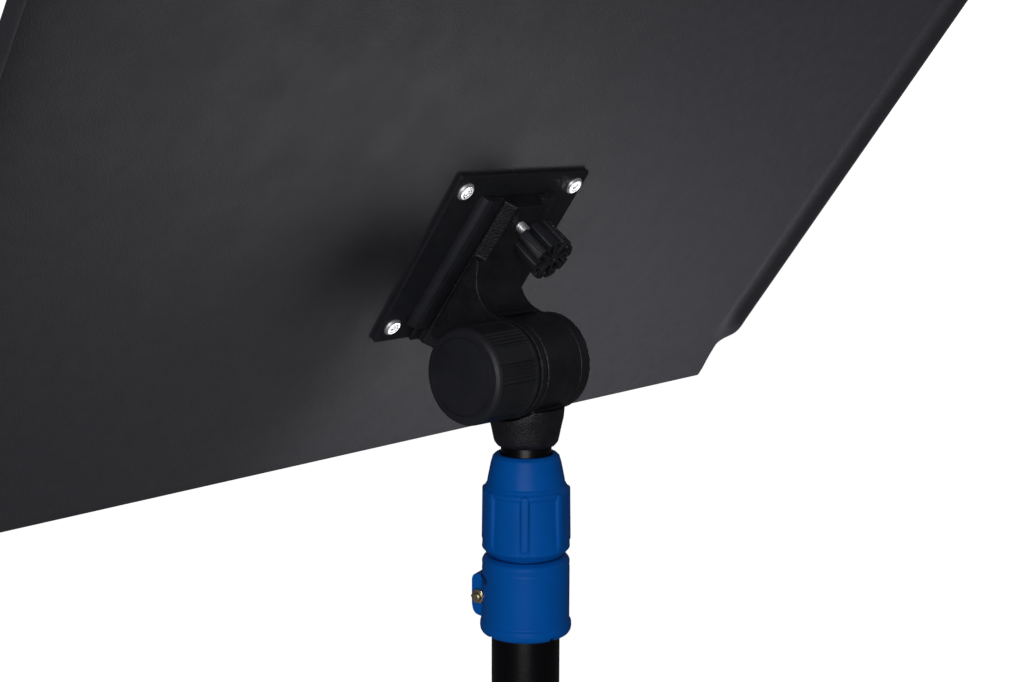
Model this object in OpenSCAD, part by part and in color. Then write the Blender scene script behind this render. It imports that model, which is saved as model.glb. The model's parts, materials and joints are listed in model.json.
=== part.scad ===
/* [Desk] */
// Width of the desk over its side flanges
desk_w = 530.4; // [480:0.1:560]
// Height of the desk up its slope, above the tilt axis
desk_up = 255; // [200:1:280]
// Length of the desk down its slope, below the tilt axis
desk_down = 101.8; // [95:0.1:120]
// Thickness of the desk's sheet steel
sheet_t = 1.2; // [1:0.1:1.5]
// Depth of the flange along the sides and the top
flange_h = 9.8; // [8:0.1:12]
// Outer bend radius of that flange
flange_r = 6; // [5:0.5:7]
// Depth of the music shelf
shelf_depth = 52; // [40:1:60]
// Height of the lip along the front of the shelf
shelf_lip = 10; // [8:1:14]
// Lean of the desk back from the vertical
desk_tilt = 36; // [30:1:40]

/* [Column] */
// Height of the tilt axis above the floor, with the column lowered
hub_z = 720; // [700:1:760]
// Outer diameter of the upper tube
upper_d = 22; // [22:1:22]
// Outer diameter of the lower tube
lower_d = 30; // [30:1:30]
// Wall of both tubes
wall_t = 1.5; // [1.2:0.1:1.6]

/* [Base] */
// Angle of the open legs from the vertical
leg_angle = 60; // [58:1:60]
// Height of the leg pivots when the legs are open
spider_z = 127; // [124:1:127]
// Height of the strut pivots
strut_z = 27; // [27:1:29]
// Distance of the leg and strut pivots from the column's axis
pivot_r = 30; // [29:0.5:30]
// Diameter of the leg tubes
leg_d = 16; // [14:1:16]

/* [Hidden] */
eps = 0.01;
fine = 96;
black = [0.11, 0.11, 0.12];
soft_black = [0.16, 0.16, 0.17];
steel = [0.75, 0.75, 0.77];
brass = [0.72, 0.6, 0.38];
blue = [0.02, 0.3, 0.62];

// The desk's frame: x to the reader's right, y out of the desk's back, z up its slope
module on_desk() { translate([0, 0, hub_z]) rotate([-desk_tilt, 0, 0]) children(); }
// The tilt axis's frame: z along the axis, towards the knob
module on_axis() { translate([0, 0, hub_z]) rotate([0, 90, 0]) children(); }
// A cylinder about the tilt axis between two stations along it
module disc_on_axis(r, x1, x2) {
    on_axis() translate([0, 0, x1]) cylinder(r = r, h = x2 - x1, $fn = fine);
}
// A cylinder in the desk's frame along its y axis
module y_cylinder(x, z, r, y1, y2) {
    translate([x, y1, z]) rotate([-90, 0, 0]) cylinder(r = r, h = y2 - y1, $fn = 48);
}

// ---- Desk ----
panel_back = -49.3;
bend_mid_r = flange_r - sheet_t / 2;
bend_x = desk_w / 2 - flange_r;
flange_straight = flange_h + sheet_t - flange_r;
bend_len = bend_mid_r * PI / 2;
fade_top = -43;
fade_bottom = -75;
blank_half = bend_x + bend_len + flange_straight;
shelf_spread = 4;
corner_half = blank_half + shelf_spread;
desk_corner_r = 30;
corner_x = desk_w / 2 - desk_corner_r;
side_top = desk_up - desk_corner_r;
inset = 20;
overlap = 5;
arc_steps = 8;
fade_steps = 10;
corner_steps = 8;
shelf_bend_r = 3;

// The sheet's middle line past the bend line, at arc step i of a flange folded by angle a:
// x goes outwards along the sheet, y towards the desk's back
function bend_point(i, a) =
    let (f = i / arc_steps, r = bend_len / (a * PI / 180))
    [r * sin(a * f), r * (1 - cos(a * f))];
function bend_normal(i, a) = let (f = i / arc_steps) [-sin(a * f), cos(a * f)];
function edge_side(a, side) = [
    for (i = [0 : arc_steps]) bend_point(i, a) + side * sheet_t / 2 * bend_normal(i, a),
    bend_point(arc_steps, a) + flange_straight * [cos(a), sin(a)]
        + side * sheet_t / 2 * bend_normal(arc_steps, a)
];
function reversed(v) = [for (i = [len(v) - 1 : -1 : 0]) v[i]];
// Closed outline of the sheet's edge: the front side outwards, then the back side inwards
function edge_outline(a) = concat(
    [[-inset, -sheet_t / 2]], edge_side(a, -1), reversed(edge_side(a, 1)), [[-inset, sheet_t / 2]]);

// Fold angle of the flange along its fade, from square to flat
function fade_angle(f) = max(0.5, 90 * (1 - f * f * (3 - 2 * f)));
// Stations round the desk's right half, each a point of the bend line, its outward direction
// and the flange's fold: up the fade and the side, then round the top corner
function half_stations() = concat(
    [for (i = [fade_steps : -1 : 0]) let (f = i / fade_steps)
        [[bend_x, fade_top + (fade_bottom - fade_top) * f], [1, 0], fade_angle(f)]],
    [for (k = [0 : corner_steps]) let (e = [cos(90 * k / corner_steps), sin(90 * k / corner_steps)])
        [[corner_x, side_top] + (desk_corner_r - flange_r) * e, e, 90]]);
function flipped(s) = [[-s[0][0], s[0][1]], [-s[1][0], s[1][1]], s[2]];

module flanged_edge() {
    right = half_stations();
    stations = concat(right, [for (s = reversed(right)) flipped(s)]);
    last = len(stations) - 1;
    n = len(edge_outline(90));
    points = [for (s = stations) for (p = edge_outline(s[2]))
        [s[0][0] + s[1][0] * p[0], panel_back - sheet_t / 2 + p[1], s[0][1] + s[1][1] * p[0]]];
    sides = [for (i = [0 : last - 1]) for (j = [0 : n - 1])
        let (a = i * n + j, b = i * n + (j + 1) % n) each [[a, b + n, b], [a, a + n, b + n]]];
    ends = [[for (j = [0 : n - 1]) j], [for (j = [n - 1 : -1 : 0]) last * n + j]];
    polyhedron(points = points, faces = concat(sides, ends), convexity = 6);
}

// The flat of the sheet, which overlaps the flanged edge a little all round
module flat_sheet() {
    half = [[0, side_top + overlap], [corner_x + overlap, side_top + overlap],
        [corner_x + overlap, fade_bottom + overlap], [blank_half, fade_bottom + eps],
        [corner_half, shelf_bend_r - desk_down], [0, shelf_bend_r - desk_down]];
    translate([0, panel_back, 0]) rotate([90, 0, 0]) linear_extrude(sheet_t)
        polygon(concat(half, reversed([for (p = half) [-p[0], p[1]]])));
}

// The shelf, bent forward from the foot of the sheet, and its lip
module shelf() {
    r = shelf_bend_r;
    y0 = panel_back - r;
    y1 = panel_back - shelf_depth + r;
    z0 = r - desk_down;
    function arc(y, r, a1, a2) = [for (i = [0 : 6]) let (a = a1 + (a2 - a1) * i / 6)
        [y + r * cos(a), z0 + r * sin(a)]];
    outline = concat(
        arc(y0, r, 0, -90), arc(y1, r, -90, -180),
        [[y1 - r, shelf_lip - desk_down], [y1 - r + sheet_t, shelf_lip - desk_down]],
        arc(y1, r - sheet_t, -180, -90), arc(y0, r - sheet_t, -90, 0));
    translate([-corner_half, 0, 0]) rotate([90, 0, 90]) linear_extrude(2 * corner_half)
        polygon(outline);
}

module desk_panel() {
    color(black) on_desk() difference() {
        union() {
            flanged_edge();
            flat_sheet();
            shelf();
        }
        for (p = plate_holes) y_cylinder(p[0], p[1], hole_r, panel_back - 5, panel_back + 5);
    }
}

// ---- Mounting plate ----
plate_w = 82.6;
plate_low = -23;
plate_high = 66.7;
plate_t = 2.5;
plate_face = panel_back + plate_t;
plate_chamfer = 1;
screw_x = 35;
screw_low = -14.3;
screw_high = 59.3;
plate_holes = [for (x = [-screw_x, screw_x]) for (z = [screw_low, screw_high]) [x, z]];
hole_r = 2.1;
screw_r = 2;
screw_head_r = 4.2;
screw_head_h = 1.7;
socket_r = 1.7;
socket_depth = 1.1;

module mounting_plate() {
    half = plate_w / 2;
    c = plate_chamfer;
    color(black) on_desk() difference() {
        translate([0, plate_face, 0]) rotate([90, 0, 0]) linear_extrude(plate_t) polygon([
            [half - c, plate_low], [half, plate_low + c], [half, plate_high - c],
            [half - c, plate_high], [c - half, plate_high], [-half, plate_high - c],
            [-half, plate_low + c], [c - half, plate_low]]);
        for (p = plate_holes) y_cylinder(p[0], p[1], hole_r, panel_back - 1, plate_face + 1);
    }
}

module plate_screws() {
    nut_t = 3;
    color(steel) on_desk() for (p = plate_holes) difference() {
        union() {
            y_cylinder(p[0], p[1], screw_head_r, plate_face, plate_face + screw_head_h);
            y_cylinder(p[0], p[1], screw_r, panel_back - sheet_t - nut_t + 0.5, plate_face + 0.5);
        }
        translate([p[0], plate_face + screw_head_h - socket_depth, p[1]]) rotate([-90, 0, 0])
            cylinder(r = socket_r, h = 2 * socket_depth, $fn = 6);
    }
}

module panel_nuts() {
    front = panel_back - sheet_t;
    color(black) on_desk() for (p = plate_holes) translate([p[0], front, p[1]]) rotate([90, 0, 0])
        difference() {
            rotate_extrude($fn = 48)
                polygon([[0, 0], [5, 0], [5, 0.8], [4.2, 2], [2.4, 3], [0, 3]]);
            translate([0, 0, -1]) cylinder(r = screw_r, h = 3.5, $fn = 48);
        }
}

// ---- Tapered rails on the plate, and the tongue that they slide over ----
rail_top = 56;
rail_len = 70;
tongue_low = -23;
taper = 0.045;
lip_in = 12.3;
lip_under = 2.4;
channel_half = 17.7;
tongue_flange = 17.3;
tongue_block = 11.75;
block_shoulder = 4.4;
block_slope = 3.75;
flange_gap = 0.15;
tongue_flange_t = 1.85;
block_h = 8.8;

// A broad rounded bar on the plate, whose inner lip holds the tongue's flange
module rail() {
    profile = [[23.4, 0], [23.1, 1.8], [22, 3.6], [20.2, 4.5], [18, 4.7], [14.6, 4.5], [13, 4.1],
        [lip_in, 3.3], [lip_in, lip_under], [channel_half, lip_under], [channel_half, 0]];
    translate([0, plate_face, rail_top]) translate([lip_in, 0, 0]) rotate([0, -atan(taper), 0])
        translate([-lip_in, 0, -rail_len]) linear_extrude(rail_len) polygon(profile);
}
module rail_right() { color(black) on_desk() rail(); }
module rail_left() { color(black) on_desk() mirror([1, 0, 0]) rail(); }

// A symmetric tapered slab lying on the plate, from one height above it to another
module tapered_slab(half_top, h1, h2) {
    half_low = half_top + taper * (rail_top - tongue_low);
    translate([0, plate_face + h2, 0]) rotate([90, 0, 0]) linear_extrude(h2 - h1) polygon([
        [-half_top, rail_top], [half_top, rail_top], [half_low, tongue_low], [-half_low, tongue_low]]);
}

// The block on the tongue: its sides slope in above the rails' lips
module block() {
    hull() for (z = [tongue_low, rail_top - eps]) translate([0, plate_face, z]) linear_extrude(eps)
        let (half = tongue_block + taper * (rail_top - z)) polygon([
            [-half, 1], [half, 1], [half, block_shoulder], [half - block_slope, block_h],
            [block_slope - half, block_h], [-half, block_shoulder]]);
}

// ---- Tilt hinge ----
drum_r = 21.4;
drum_half = 10.5;
disc_t = 0.7;
ear_in = 11.3;
ear_out = 14.5;
ear_far = 17.1;
disc_r = 11.5;
bolt_r = 4;
thumb_z = 45.8;
thumb_r = 2.5;
neck_half = ear_out;

// Outline of the neck in the desk's y and z: a fillet, a hollow sweep over the drum, a flat foot
neck_gap = 5.4;
sweep_y = -22.4;
sweep_z = 28.2;
sweep_r = 14.2;
neck_outline = concat(
    [[plate_face + neck_gap, -16.5], [plate_face + neck_gap, 27.2], [plate_face + block_h, 27]],
    [for (a = [208 : 11.5 : 290]) [sweep_y + sweep_r * cos(a), sweep_z + sweep_r * sin(a)]],
    [[-14, 14.5], [0, 0], [-15.2, -15], [-18, -16.5]]);

module slider_arm() {
    color(black) difference() {
        union() {
            on_desk() {
                tapered_slab(tongue_flange, flange_gap, flange_gap + tongue_flange_t);
                block();
                translate([-neck_half, 0, 0]) rotate([90, 0, 90])
                    linear_extrude(2 * neck_half) polygon(neck_outline);
            }
            disc_on_axis(drum_r, -ear_far, -ear_in);
            disc_on_axis(drum_r, ear_in, ear_out);
        }
        disc_on_axis(drum_r + 0.8, -ear_in, ear_in);
        disc_on_axis(bolt_r, -ear_far - 1, ear_out + 1);
        on_desk() y_cylinder(0, thumb_z, thumb_r + 0.05, plate_face - 1, plate_face + block_h + 1);
    }
}

thumb_gap = 8.9;
thumb_len = 13.6;
thumb_knob_r = 10.6;
thumb_start = plate_face + block_h + thumb_gap;

module thumb_stud() {
    color(steel) on_desk()
        y_cylinder(0, thumb_z, thumb_r, plate_face + 0.1, thumb_start + thumb_len - 3);
}

groove_r = 4.4;
groove_out = 3.1;
// A round knob with lobes along z, and a through bore
module lobed_knob(r, len, lobes, bore) {
    difference() {
        cylinder(r = r, h = len, $fn = fine);
        for (i = [0 : lobes - 1]) rotate([0, 0, (i + 0.5) * 360 / lobes])
            translate([r + groove_out, 0, -1]) cylinder(r = groove_r, h = len + 2, $fn = 32);
        translate([0, 0, -1]) cylinder(r = bore, h = len + 2, $fn = 48);
    }
}

module thumb_knob() {
    color(soft_black) on_desk() translate([0, thumb_start, thumb_z]) rotate([-90, 0, 0])
        lobed_knob(thumb_knob_r, thumb_len, 8, thumb_r);
}

// Radii and heights of the socket's cone, below the tilt axis
boss_profile = [[0, -35], [12.3, -35], [13.9, -33], [15, -27.7], [16.2, -22.4], [16.6, -18], [0, -18]];
tube_top = -12;
// The grub screw that holds the tube in the socket
grub_z = -27;
grub_r = 2.5;

module tilt_socket() {
    color(black) difference() {
        union() {
            disc_on_axis(drum_r, -drum_half, drum_half);
            difference() {
                translate([0, 0, hub_z]) rotate_extrude($fn = fine) polygon(boss_profile);
                disc_on_axis(drum_r + 0.6, -30, -drum_half);
                disc_on_axis(drum_r + 0.6, drum_half, 30);
            }
        }
        translate([0, 0, hub_z - 36]) cylinder(r = upper_d / 2, h = 36 + tube_top, $fn = fine);
        disc_on_axis(bolt_r + 0.08, -drum_half - 1, drum_half + 1);
        translate([0, 1 - upper_d / 2, hub_z + grub_z]) rotate([90, 0, 0])
            cylinder(r = grub_r, h = 12, $fn = 48);
    }
}

module socket_screw() {
    color(steel) translate([0, -upper_d / 2, hub_z + grub_z]) rotate([90, 0, 0]) difference() {
        cylinder(r = grub_r, h = 3.6, $fn = 48);
        translate([0, 0, 2]) cylinder(r = 1.4, h = 3, $fn = 6);
    }
}

module friction_disc(x) {
    color(soft_black) difference() {
        disc_on_axis(disc_r, x, x + disc_t);
        disc_on_axis(bolt_r + 0.08, x - 1, x + disc_t + 1);
    }
}
module friction_disc_left() { friction_disc(-drum_half - disc_t); }
module friction_disc_right() { friction_disc(drum_half); }

washer_in = ear_out + 0.1;
washer_out = 15.7;
knob_in = 15.8;
knob_out = 40.7;
knob_r = 21;
bolt_end = 34;
bolt_head_h = 5;

module clamp_bolt() {
    color(steel) {
        disc_on_axis(bolt_r, -ear_far - eps, bolt_end);
        on_axis() translate([0, 0, -ear_far - bolt_head_h]) cylinder(r = 7.4, h = bolt_head_h, $fn = 6);
    }
}

module clamp_washer() {
    color(soft_black) difference() {
        disc_on_axis(20.4, washer_in, washer_out);
        disc_on_axis(bolt_r + 0.05, washer_in - 1, washer_out + 1);
    }
}

insert_r = 6.5;
insert_end = 35;
cap_r = 16;
cap_t = 1.6;
pads = 8;
flute_r = 0.75;
flute_pitch = 4.6;

module tilt_knob() {
    color(soft_black) difference() {
        on_axis() rotate_extrude($fn = fine) polygon([
            [0, knob_in], [knob_r - 0.6, knob_in], [knob_r, knob_in + 0.8], [knob_r - 0.2, knob_out - 2.2],
            [knob_r - 2.4, knob_out], [0, knob_out]]);
        on_axis() for (i = [0 : pads - 1]) for (k = [-2 : 2])
            rotate([0, 0, i * 360 / pads + k * flute_pitch]) translate([knob_r + 0.35, 0, knob_in + 1.5])
                cylinder(r = flute_r, h = knob_out - knob_in - 4.2, $fn = 16);
        disc_on_axis(insert_r, knob_in - 1, insert_end);
        disc_on_axis(cap_r, knob_out - cap_t, knob_out + 1);
    }
}

module tilt_knob_cap() { color(soft_black) disc_on_axis(cap_r - 0.3, knob_out - cap_t, knob_out - 0.2); }

module knob_insert() {
    color(brass) difference() {
        disc_on_axis(insert_r, knob_in, insert_end);
        disc_on_axis(bolt_r + 0.05, knob_in - 1, insert_end + 1);
    }
}

// ---- Column ----
upper_low = 90;
upper_r = upper_d / 2;
lower_r = lower_d / 2;
bush_len = 40;
slide_gap = 0.06;

// A tube about the column's axis
module tube(r_out, r_in, z1, z2) {
    difference() {
        translate([0, 0, z1]) cylinder(r = r_out, h = z2 - z1, $fn = fine);
        translate([0, 0, z1 - 1]) cylinder(r = r_in, h = z2 - z1 + 2, $fn = fine);
    }
}

module upper_tube() { color(black) tube(upper_r, upper_r - wall_t, upper_low, hub_z + tube_top); }

module tube_plug() {
    color(soft_black) {
        translate([0, 0, upper_low - 6]) cylinder(r = 12.6, h = 6, $fn = fine);
        translate([0, 0, upper_low - eps]) cylinder(r = upper_r - wall_t, h = 20, $fn = fine);
    }
}

module guide_bush() {
    color(soft_black) tube(lower_r - wall_t - slide_gap, upper_r + slide_gap, upper_low + 0.1,
        upper_low + bush_len);
}

module bush_clip() {
    clip_z = upper_low + bush_len + 0.1;
    color(steel) difference() {
        tube(12.6, upper_r, clip_z, clip_z + 1.4);
        translate([5, -2, clip_z - 1]) cube([10, 4, 4]);
    }
}

lower_low = strut_z - 8;
tube_end = -92;
module lower_tube() { color(black) tube(lower_r, lower_r - wall_t, lower_low, hub_z + tube_end); }

// ---- Clutch: radii and heights below the tilt axis ----
nut_low = -82.7;
nut_high = -38.5;
nut_ribs = 7;
rib_first = 39;
rib_at = 18.4;
rib_r = 1.6;
rib_top = 19.6;
nut_outer = [[16.6, nut_low], [17.8, -82], [19.2, -80.2], [19.3, -77.4], [18.9, -57], [18.85, -55],
    [18.4, -53.6], [16.9, -51.2], [16.6, -49.5], [15.9, -45.4], [15.1, -41.6], [14.5, -39.8],
    [13.4, nut_high]];
nut_inner = [[11.7, nut_high], [11.7, -41], [13.4, -51], [13.4, -54], [14.75, -55.5], [14.75, nut_low]];

module clutch_nut() {
    color(blue) translate([0, 0, hub_z]) difference() {
        union() {
            rotate_extrude($fn = fine) polygon(concat(nut_outer, nut_inner));
            for (i = [0 : nut_ribs - 1]) rotate([0, 0, rib_first + i * 360 / nut_ribs])
                translate([rib_at, 0, -80]) cylinder(r = rib_r, h = 24, $fn = 32);
        }
        difference() {
            translate([0, 0, -90]) cylinder(r = 30, h = 60, $fn = fine);
            translate([0, 0, -91]) cylinder(r = rib_top, h = 62, $fn = fine);
        }
    }
}

collet_r = 13.2;
module collet() {
    color(soft_black) translate([0, 0, hub_z]) difference() {
        rotate_extrude($fn = fine) polygon([[upper_r + slide_gap, -90], [collet_r, -90],
            [collet_r, -52], [12, -44], [upper_r + slide_gap, -44]]);
        for (a = [0, 90]) rotate([0, 0, a]) translate([-20, -0.75, -80]) cube([40, 1.5, 50]);
    }
}

collar_low = -118.4;
collar_high = -83.7;
lug_angle = -75;
lug_bolt_r = 19.5;
lug_bolt_z = -103.6;
lug_half = 5.6;
// x, z and radius of the clamp lug's rounded corners
lug_corners = [[16, -6, 3.6], [18.9, -4.7, 4.9], [21.2, 6.7, 2.6], [16, 6.7, 2.6]];
slit = 1.5;
// The slot round the clamp side of the collar, which lets the band below it close on the tube
slot_low = -95.6;
slot_high = -92.2;
slot_reach = 55;
slot_section = [[14.2, slot_low], [20.1, slot_low], [20.1, slot_high], [14.2, slot_high]];
spot_face_r = 4.1;
notch_w = 3.6;
notch_h = 3.2;
collar_outer = [[15, collar_low], [18.3, collar_low], [19.2, -117.8], [19.8, -116.8], [20, -115.4],
    [19.9, -113.8], [19.15, -112.8], [19.1, -87.4], [19.1, -86], [18.6, -84.8], [16.9, collar_high]];
collar_inner = [[14.6, collar_high], [14.6, -58], [13.3, -58], [13.3, tube_end], [15, tube_end]];

// The clamp's frame: x out of the column through the lug, y across the slit towards the nut
module on_clamp() { translate([0, 0, hub_z + lug_bolt_z]) rotate([0, 0, lug_angle]) children(); }

module lower_collar() {
    color(blue) difference() {
        union() {
            translate([0, 0, hub_z]) rotate_extrude($fn = fine) polygon(concat(collar_outer, collar_inner));
            on_clamp() difference() {
                hull() for (c = lug_corners) translate([c[0], 0, c[1]]) pin_shape(c[2], lug_half);
                translate([0, 0, -20]) cylinder(r = 17, h = 40, $fn = fine);
            }
        }
        translate([0, 0, hub_z + collar_low - 1])
            cylinder(r = lower_r, h = tube_end - collar_low + 1, $fn = fine);
        translate([0, 0, hub_z]) rotate([0, 0, lug_angle - slot_reach])
            rotate_extrude(angle = 2 * slot_reach, $fn = fine) polygon(slot_section);
        on_clamp() translate([12, -slit / 2, -20]) cube([20, slit, 20 + slot_high - lug_bolt_z]);
        on_clamp() translate([lug_bolt_r, 0, 0]) {
            pin_shape(2, 20);
            for (s = [-1, 1]) translate([0, s * (lug_half + 5), 0]) pin_shape(spot_face_r, 5);
        }
        translate([0, 0, hub_z + collar_low]) for (a = [78 : 90 : 348]) rotate([0, 0, a])
            translate([lower_r, -notch_w / 2, -1]) cube([10, notch_w, notch_h + 1]);
    }
}

module collar_bolt() {
    color(brass) on_clamp() translate([lug_bolt_r, 0, 0]) rotate([-90, 0, 0]) {
        translate([0, 0, -lug_half]) cylinder(r = 2, h = 2 * lug_half + 5, $fn = 48);
        translate([0, 0, -lug_half - 2.4]) cylinder(r = 3.4, h = 2.4, $fn = 48);
    }
}

module collar_nut() {
    color(brass) on_clamp() translate([lug_bolt_r, lug_half, 0]) rotate([-90, 0, 0]) difference() {
        cylinder(r = 3.5, h = 2.8, $fn = 6);
        translate([0, 0, -1]) cylinder(r = 2, h = 5, $fn = 48);
    }
}

// ---- Folding base ----
strut_len = (spider_z - strut_z) / 2 / cos(leg_angle);
leg_len = spider_z / cos(leg_angle);
leg_r = leg_d / 2;
pin_r = 2.5;
pin_hole = pin_r + 0.05;
lug_round = 6.5;
head_half = 7;
strut_in = leg_r + 1.2;
strut_out = strut_in + 2;
strut_half = 6;
lock_at = 60;
lock_z = 2;
lock_r = 3;

module around(i) { rotate([0, 0, 120 * (i - 1)]) children(); }
// Down a leg from its pivot, with y along the pivot pin
module down_leg(i) { around(i) translate([pivot_r, 0, spider_z]) rotate([0, 180 - leg_angle, 0]) children(); }
// Up a strut from its pivot, with y along the pivot pin
module up_strut(i) { around(i) translate([pivot_r, 0, strut_z]) rotate([0, leg_angle, 0]) children(); }
// A cylinder along y, centred on the pivot
module pin_shape(r, half) { rotate([90, 0, 0]) cylinder(r = r, h = 2 * half, center = true, $fn = 48); }
// A lug from the column's axis to the pivot, between two stations along y
module lug(y1, y2) {
    translate([0, y1, -lug_round]) cube([pivot_r, y2 - y1, 2 * lug_round]);
    translate([pivot_r, (y1 + y2) / 2, 0]) pin_shape(lug_round, (y2 - y1) / 2);
}

// The lock screw's frame: z along the screw, out of the column's axis
module on_lock() {
    rotate([0, 0, lock_at]) translate([0, 0, spider_z + lock_z]) rotate([0, 90, 0]) children();
}

module leg_spider() {
    ear = head_half + 0.2;
    color(soft_black) difference() {
        union() {
            tube(20, lower_r - 1, spider_z - 12, spider_z + 14);
            for (i = [1 : 3]) around(i) translate([0, 0, spider_z]) {
                lug(ear, ear + 3);
                lug(-ear - 3, -ear);
            }
            on_lock() translate([0, 0, 14]) cylinder(r = 8, h = 13, $fn = 48);
        }
        translate([0, 0, spider_z - 20]) cylinder(r = lower_r + slide_gap, h = 50, $fn = fine);
        for (i = [1 : 3]) around(i) translate([pivot_r, 0, spider_z]) pin_shape(pin_r, 12);
        on_lock() translate([0, 0, 10]) cylinder(r = lock_r + 0.05, h = 30, $fn = 48);
    }
}

module spider_pins() {
    head = head_half + 3.2;
    color(steel) for (i = [1 : 3]) around(i) translate([pivot_r, 0, spider_z]) {
        pin_shape(pin_r, head + 1.2);
        for (s = [-1, 1]) translate([0, s * (head + 0.6), 0]) pin_shape(4, 0.6);
    }
}

module lock_stud() {
    color(steel) on_lock() translate([0, 0, lower_r + 0.3]) cylinder(r = lock_r, h = 25, $fn = 48);
}
module lock_knob() { color(soft_black) on_lock() translate([0, 0, 28]) lobed_knob(13, 15, 6, lock_r); }

module bottom_hub() {
    color(soft_black) difference() {
        union() {
            translate([0, 0, strut_z - 14]) cylinder(r = 19.5, h = 30, $fn = fine);
            for (i = [1 : 3]) around(i) translate([0, 0, strut_z]) lug(-strut_in + 0.2, strut_in - 0.2);
        }
        translate([0, 0, lower_low]) cylinder(r = lower_r, h = 60, $fn = fine);
        for (i = [1 : 3]) around(i) translate([pivot_r, 0, strut_z]) pin_shape(pin_r, 12);
    }
}

module hub_pins() {
    color(steel) for (i = [1 : 3]) around(i) translate([pivot_r, 0, strut_z]) {
        pin_shape(pin_r, strut_out + 1.2);
        for (s = [-1, 1]) translate([0, s * (strut_out + 0.8), 0]) pin_shape(4, 0.6);
    }
}

module base_cap() {
    color(soft_black) translate([0, 0, strut_z - 17]) rotate_extrude($fn = fine)
        polygon([[0, 0], [15, 0], [17, 1.5], [17, 3], [0, 3]]);
}

tube_start = 16;
tube_cut = 22;
module leg_tube(i) {
    color(black) down_leg(i) tube(leg_r, leg_r - wall_t, tube_start, leg_len - tube_cut);
}
module leg_tube_1() { leg_tube(1); }
module leg_tube_2() { leg_tube(2); }
module leg_tube_3() { leg_tube(3); }

module leg_head(i) {
    color(soft_black) down_leg(i) difference() {
        union() {
            pin_shape(lug_round, head_half);
            translate([-lug_round, -head_half, 0]) cube([2 * lug_round, 2 * head_half, 12]);
            translate([0, 0, 11.5]) cylinder(r = leg_r, h = tube_start - 11.5, $fn = fine);
            translate([0, 0, tube_start - eps]) cylinder(r = leg_r - wall_t, h = 18, $fn = fine);
        }
        pin_shape(pin_hole, head_half + 1);
    }
}
module leg_head_1() { leg_head(1); }
module leg_head_2() { leg_head(2); }
module leg_head_3() { leg_head(3); }

foot_r = 10.5;
foot_in = 46;
foot_out = 8;
module foot(i) {
    color(soft_black) difference() {
        down_leg(i) difference() {
            translate([0, 0, leg_len - foot_in]) cylinder(r = foot_r, h = foot_in + foot_out, $fn = fine);
            translate([0, 0, leg_len - foot_in - 1])
                cylinder(r = leg_r, h = foot_in + 1 - tube_cut, $fn = fine);
        }
        around(i) translate([0, -50, -100]) cube([400, 100, 100]);
    }
}
module foot_1() { foot(1); }
module foot_2() { foot(2); }
module foot_3() { foot(3); }

module strut(i) {
    color(black) up_strut(i) for (s = [-1, 1]) translate([0, s * (strut_in + strut_out) / 2, 0])
        difference() {
            union() {
                for (z = [0, strut_len]) translate([0, 0, z]) pin_shape(strut_half, 1);
                translate([-strut_half, -1, 0]) cube([2 * strut_half, 2, strut_len]);
            }
            pin_shape(pin_hole, 2);
            translate([0, 0, strut_len]) pin_shape(pin_r, 2);
        }
}
module strut_1() { strut(1); }
module strut_2() { strut(2); }
module strut_3() { strut(3); }

module strut_rivets(i) {
    color(steel) up_strut(i) for (s = [-1, 1]) translate([0, 0, strut_len]) {
        translate([0, s * (strut_in + 1), 0]) pin_shape(pin_r, 1);
        translate([0, s * (strut_out + 0.7), 0]) pin_shape(4.2, 0.7);
    }
}
module strut_rivets_1() { strut_rivets(1); }
module strut_rivets_2() { strut_rivets(2); }
module strut_rivets_3() { strut_rivets(3); }

desk_panel();
mounting_plate();
plate_screws();
panel_nuts();
rail_left();
rail_right();
slider_arm();
thumb_stud();
thumb_knob();
tilt_socket();
socket_screw();
friction_disc_left();
friction_disc_right();
clamp_bolt();
clamp_washer();
tilt_knob();
tilt_knob_cap();
knob_insert();
upper_tube();
tube_plug();
guide_bush();
bush_clip();
clutch_nut();
collet();
lower_collar();
collar_bolt();
collar_nut();
lower_tube();
leg_spider();
spider_pins();
lock_stud();
lock_knob();
bottom_hub();
hub_pins();
base_cap();
leg_tube_1();
leg_tube_2();
leg_tube_3();
leg_head_1();
leg_head_2();
leg_head_3();
foot_1();
foot_2();
foot_3();
strut_1();
strut_2();
strut_3();
strut_rivets_1();
strut_rivets_2();
strut_rivets_3();
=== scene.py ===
"""Music stand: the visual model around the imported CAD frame.

Shapes are written in millimetres in the frame of the sub-part that they belong to, and one
matrix for each such frame brings them to the stand's own frame in metres.
"""
import json
import math

import bmesh
import bpy
from mathutils import Matrix, Vector


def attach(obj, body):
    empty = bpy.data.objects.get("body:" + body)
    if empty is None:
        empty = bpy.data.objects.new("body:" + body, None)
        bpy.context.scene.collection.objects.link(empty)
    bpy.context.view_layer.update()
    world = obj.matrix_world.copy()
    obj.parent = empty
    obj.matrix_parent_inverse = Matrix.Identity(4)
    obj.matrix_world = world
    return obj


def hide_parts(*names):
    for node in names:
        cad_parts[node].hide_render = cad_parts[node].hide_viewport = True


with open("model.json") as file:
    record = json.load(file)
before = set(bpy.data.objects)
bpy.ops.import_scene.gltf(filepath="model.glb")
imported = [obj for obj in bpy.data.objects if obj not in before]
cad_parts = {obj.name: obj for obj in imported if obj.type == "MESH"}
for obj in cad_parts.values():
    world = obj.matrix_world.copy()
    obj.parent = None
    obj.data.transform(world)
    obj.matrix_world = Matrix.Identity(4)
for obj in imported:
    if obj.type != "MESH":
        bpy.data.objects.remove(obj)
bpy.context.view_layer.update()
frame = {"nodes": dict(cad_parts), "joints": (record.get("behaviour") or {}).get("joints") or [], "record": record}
JOINTS = {j["name"]: j for j in frame["joints"]}
MM = 0.001
MATERIALS = {}

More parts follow.
